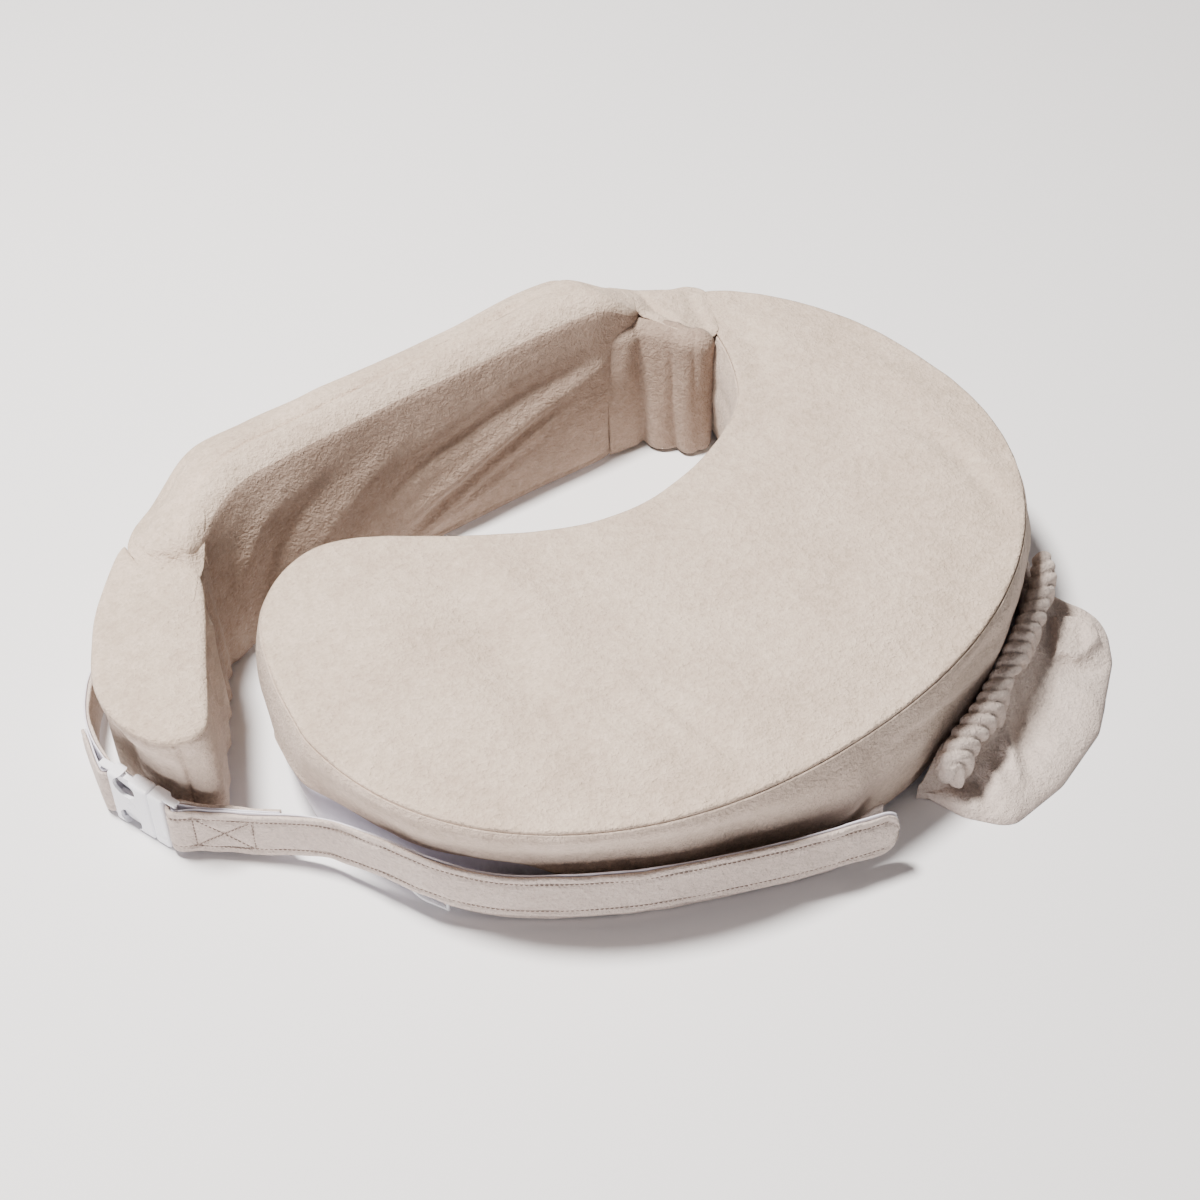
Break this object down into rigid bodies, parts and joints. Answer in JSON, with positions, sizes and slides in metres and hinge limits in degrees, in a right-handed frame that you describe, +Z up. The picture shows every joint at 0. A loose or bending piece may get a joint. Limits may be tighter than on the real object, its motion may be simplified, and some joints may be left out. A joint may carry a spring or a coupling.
{
  "type": "nursing pillow",
  "caption": "Crescent pillow with a two-segment backrest that swings and folds on fabric hinges, a waist strap with a side-release buckle, and an elastic pocket.",
  "frame": {"origin": "on the platform's flat underside, midway between its widest points", "axes": "+Z up, +X along the backrest towards its hinge, +Y from the platform to the backrest"},
  "size_m": [0.676, 0.5485, 0.1408],
  "materials": {
    "plush": "short-pile plush velour, warm beige",
    "foam": "open-cell foam core, never seen",
    "lining": "smooth white woven lining",
    "plastic": "glossy white moulded plastic",
    "hook_and_loop": "off-white hook-and-loop pile"
  },
  "bodies": {
    "platform": {"platform_foam": "foam", "platform_top_panel": "plush", "platform_outer_wall": "plush", "platform_waist_wall": "plush", "platform_base_panel": "lining", "hinge_gusset": "plush", "landing_strap": "plush", "loop_patch": "hook_and_loop", "pocket_pouch": "plush", "pocket_elastic": "plush"},
    "ring": {"strap_ring": "plastic"},
    "backrest": {"backrest_foam": "foam", "backrest_top_panel": "plush", "backrest_inner_wall": "plush", "backrest_outer_wall": "plush", "backrest_base_panel": "lining", "zip_tape": "lining"},
    "slider": {"zip_slider": "plastic"},
    "pull": {"zip_pull": "plastic"},
    "backrest_end": {"end_foam": "foam", "end_top_panel": "plush", "end_wall": "plush", "end_base_panel": "lining", "tab_plush": "plush", "tab_lining": "lining", "buckle_female": "plastic"},
    "plug": {"buckle_male": "plastic"},
    "upper_prong": {"prong_upper": "plastic"},
    "lower_prong": {"prong_lower": "plastic"},
    "long_strap": {"strap_plush": "plush", "strap_lining": "lining", "hook_patch": "hook_and_loop"}
  },
  "joints": [
    {"name": "backrest_swing", "type": "hinge", "parent": "platform", "child": "backrest", "pos_m": [0.125, 0.226, 0], "axis": [0, 0, -1], "range_deg": [0, 75]},
    {"name": "end_fold", "type": "hinge", "parent": "backrest", "child": "backrest_end", "pos_m": [-0.257, 0.225, 0], "axis": [0, 0, -1], "range_deg": [0, 60]},
    {"name": "buckle_release", "type": "slide", "parent": "backrest_end", "child": "plug", "axis": [0.3065, -0.9519, 0], "range_m": [0, 0.04], "deforming": ["prong_upper", "prong_lower"]},
    {"name": "prong_upper_press", "type": "hinge", "parent": "plug", "child": "upper_prong", "pos_m": [-0.36719, 0.08721, 0.0395], "axis": [-0.9519, -0.3065, 0], "range_deg": [0, 8], "stiffness_Nm_per_rad": 0.02},
    {"name": "prong_lower_press", "type": "hinge", "parent": "plug", "child": "lower_prong", "pos_m": [-0.36719, 0.08721, 0.0115], "axis": [0.9519, 0.3065, 0], "range_deg": [0, 8], "stiffness_Nm_per_rad": 0.02},
    {"name": "strap_peel", "type": "hinge", "parent": "plug", "child": "long_strap", "pos_m": [-0.361, 0.068, 0.0255], "axis": [0, 0, -1], "range_deg": [0, 45]},
    {"name": "ring_swing", "type": "hinge", "parent": "platform", "child": "ring", "pos_m": [-0.25134, -0.0834, 0.015], "axis": [0, 0, -1], "range_deg": [0, 10]},
    {"name": "zip_slide", "type": "slide", "parent": "backrest", "child": "slider", "axis": [-0.9984, 0.0566, 0], "range_m": [0, 0.222]},
    {"name": "zip_pull_swing", "type": "hinge", "parent": "slider", "child": "pull", "pos_m": [0.06365, 0.26183, 0.03169], "axis": [-0.0113, -0.2001, -0.9797], "range_deg": [0, 160]}
  ],
  "couplings": [
    {"joint": "strap_peel", "follows": "backrest_swing", "ratio": 0.6}
  ]
}
